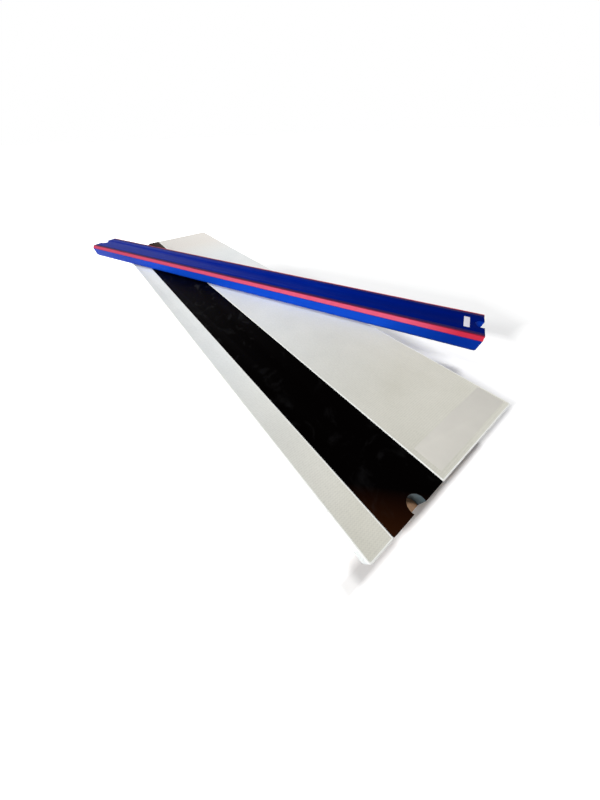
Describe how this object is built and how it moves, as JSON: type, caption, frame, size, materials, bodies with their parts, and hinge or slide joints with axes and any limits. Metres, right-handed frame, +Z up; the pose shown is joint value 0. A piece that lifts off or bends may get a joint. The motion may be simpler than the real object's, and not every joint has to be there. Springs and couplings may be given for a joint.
{
  "type": "long jump take off board",
  "caption": "Take-off board for the long jump: white planks either side of a pit with a dark blanking board, levelling feet, and a loose indicator board with modelling clay edges.",
  "frame": {"origin": "the middle of the board in plan, on the floor that its feet stand on", "axes": "+X along the board, across the runway; +Y against the run-up direction, from the narrow landing-side plank to the take-off plank; +Z up"},
  "size_m": [1.2458, 0.5974, 0.131],
  "materials": {
    "painted_wood": "white paint, satin",
    "nonslip_sheet": "white, fine woven texture",
    "birch_plywood": "clear sealed plywood",
    "film_plywood": "dark brown phenolic film, satin",
    "blue_wood": "blue paint, satin",
    "modelling_clay": "red modelling clay, pressed smooth",
    "galvanised_steel": "galvanised, dull",
    "zinc_steel": "bright zinc plated",
    "black_steel": "black oxide",
    "yellow_zinc": "yellow zinc plated",
    "rubber": "matt black"
  },
  "bodies": {
    "board": {"base_panel": "birch_plywood", "takeoff_plank": "painted_wood", "takeoff_sheet": "nonslip_sheet", "front_plank": "painted_wood", "front_sheet": "nonslip_sheet", "locating_pegs": "zinc_steel", "bearer_near": "galvanised_steel", "bearer_middle": "galvanised_steel", "bearer_far": "galvanised_steel", "pit_bolts": "black_steel", "pit_nuts": "zinc_steel", "plank_screws": "yellow_zinc", "bearer_screws": "yellow_zinc", "weld_nuts": "zinc_steel", "lock_nuts": "zinc_steel"},
    "blanking": {"blanking_board": "film_plywood"},
    "indicator": {"indicator_board": "blue_wood", "clay_front": "modelling_clay", "clay_back": "modelling_clay"},
    "foot_1": {"foot_1_sole": "rubber", "foot_1_pad": "zinc_steel"},
    "stud_1": {"foot_1_stud": "zinc_steel"},
    "foot_2": {"foot_2_sole": "rubber", "foot_2_pad": "zinc_steel"},
    "stud_2": {"foot_2_stud": "zinc_steel"},
    "foot_3": {"foot_3_sole": "rubber", "foot_3_pad": "zinc_steel"},
    "stud_3": {"foot_3_stud": "zinc_steel"},
    "foot_4": {"foot_4_sole": "rubber", "foot_4_pad": "zinc_steel"},
    "stud_4": {"foot_4_stud": "zinc_steel"},
    "foot_5": {"foot_5_sole": "rubber", "foot_5_pad": "zinc_steel"},
    "stud_5": {"foot_5_stud": "zinc_steel"},
    "foot_6": {"foot_6_sole": "rubber", "foot_6_pad": "zinc_steel"},
    "stud_6": {"foot_6_stud": "zinc_steel"}
  },
  "joints": [
    {"name": "blanking_lift", "type": "slide", "parent": "board", "child": "blanking", "axis": [0, 0, 1], "range_m": [0, 0.045]},
    {"name": "indicator_lift", "type": "slide", "parent": "blanking", "child": "indicator", "axis": [0, 0, 1], "range_m": [0, 0.05]},
    {"name": "foot_1_height", "type": "slide", "parent": "board", "child": "foot_1", "axis": [0, 0, -1], "range_m": [0, 0.015]},
    {"name": "foot_1_turn", "type": "hinge", "parent": "foot_1", "child": "stud_1", "pos_m": [0.48, -0.125, 0.03], "axis": [0, 0, -1], "range_deg": [0, 3087]},
    {"name": "foot_2_height", "type": "slide", "parent": "board", "child": "foot_2", "axis": [0, 0, -1], "range_m": [0, 0.015]},
    {"name": "foot_2_turn", "type": "hinge", "parent": "foot_2", "child": "stud_2", "pos_m": [0.48, 0.125, 0.03], "axis": [0, 0, -1], "range_deg": [0, 3087]},
    {"name": "foot_3_height", "type": "slide", "parent": "board", "child": "foot_3", "axis": [0, 0, -1], "range_m": [0, 0.015]},
    {"name": "foot_3_turn", "type": "hinge", "parent": "foot_3", "child": "stud_3", "pos_m": [0, -0.125, 0.03], "axis": [0, 0, -1], "range_deg": [0, 3087]},
    {"name": "foot_4_height", "type": "slide", "parent": "board", "child": "foot_4", "axis": [0, 0, -1], "range_m": [0, 0.015]},
    {"name": "foot_4_turn", "type": "hinge", "parent": "foot_4", "child": "stud_4", "pos_m": [0, 0.125, 0.03], "axis": [0, 0, -1], "range_deg": [0, 3087]},
    {"name": "foot_5_height", "type": "slide", "parent": "board", "child": "foot_5", "axis": [0, 0, -1], "range_m": [0, 0.015]},
    {"name": "foot_5_turn", "type": "hinge", "parent": "foot_5", "child": "stud_5", "pos_m": [-0.48, -0.125, 0.03], "axis": [0, 0, -1], "range_deg": [0, 3087]},
    {"name": "foot_6_height", "type": "slide", "parent": "board", "child": "foot_6", "axis": [0, 0, -1], "range_m": [0, 0.015]},
    {"name": "foot_6_turn", "type": "hinge", "parent": "foot_6", "child": "stud_6", "pos_m": [-0.48, 0.125, 0.03], "axis": [0, 0, -1], "range_deg": [0, 3087]}
  ],
  "couplings": [
    {"joint": "foot_1_turn", "follows": "foot_1_height", "rad_per_m": 3590.4},
    {"joint": "foot_2_turn", "follows": "foot_2_height", "rad_per_m": 3590.4},
    {"joint": "foot_3_turn", "follows": "foot_3_height", "rad_per_m": 3590.4},
    {"joint": "foot_4_turn", "follows": "foot_4_height", "rad_per_m": 3590.4},
    {"joint": "foot_5_turn", "follows": "foot_5_height", "rad_per_m": 3590.4},
    {"joint": "foot_6_turn", "follows": "foot_6_height", "rad_per_m": 3590.4}
  ]
}
